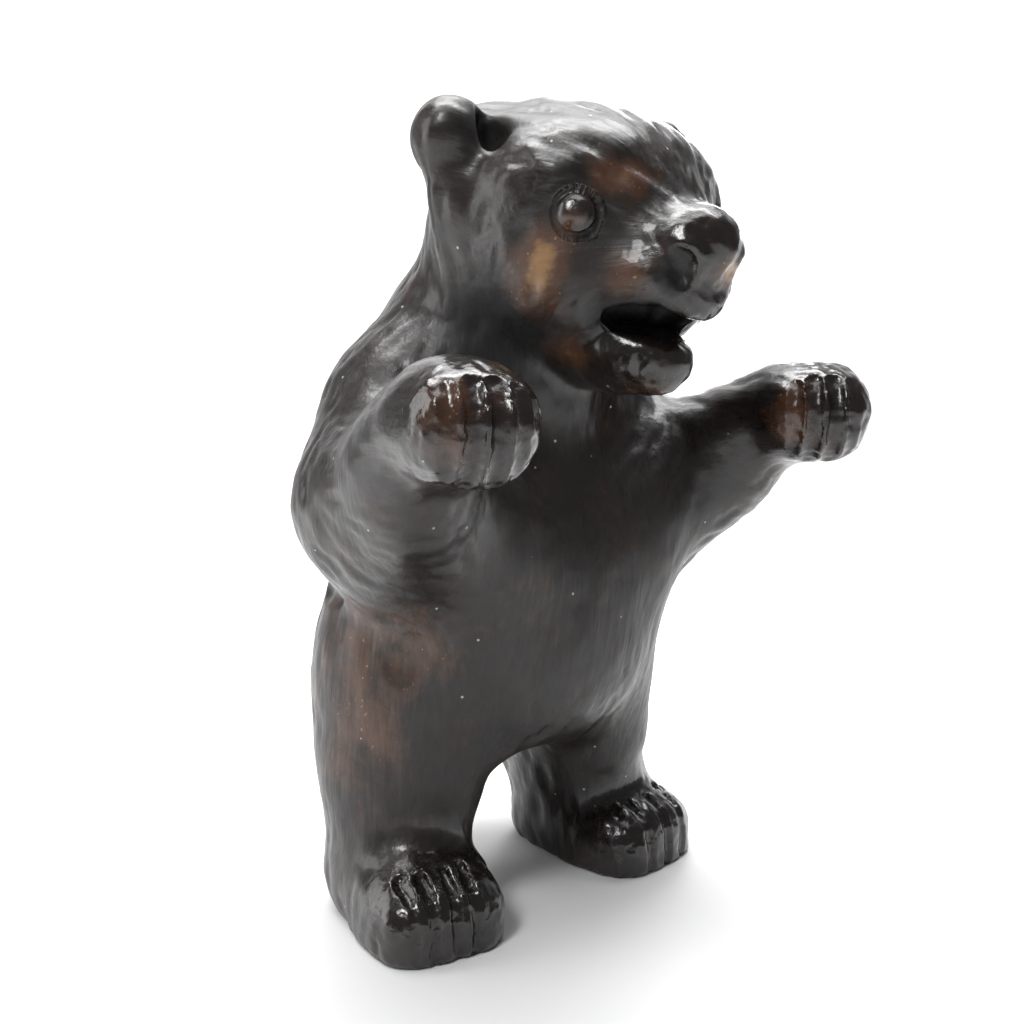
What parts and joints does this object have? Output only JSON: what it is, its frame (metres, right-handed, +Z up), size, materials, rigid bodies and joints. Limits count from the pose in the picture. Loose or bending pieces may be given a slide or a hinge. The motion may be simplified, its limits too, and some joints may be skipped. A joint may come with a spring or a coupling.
{
  "type": "standing bear sculpture",
  "caption": "Bear standing upright on flat soles with its arms held forward, mouth open and cupped ears, modelled in one piece with a dark brown glaze.",
  "frame": {"origin": "centre of the bounding box at floor level, between the soles", "axes": "+Z up along the body, -Y the way the chest faces, +X towards the bear's left"},
  "size_m": [0.1364, 0.1252, 0.2],
  "materials": {
    "glaze": "glossy"
  },
  "bodies": {
    "root": {"bear": "glaze"}
  },
  "joints": []
}
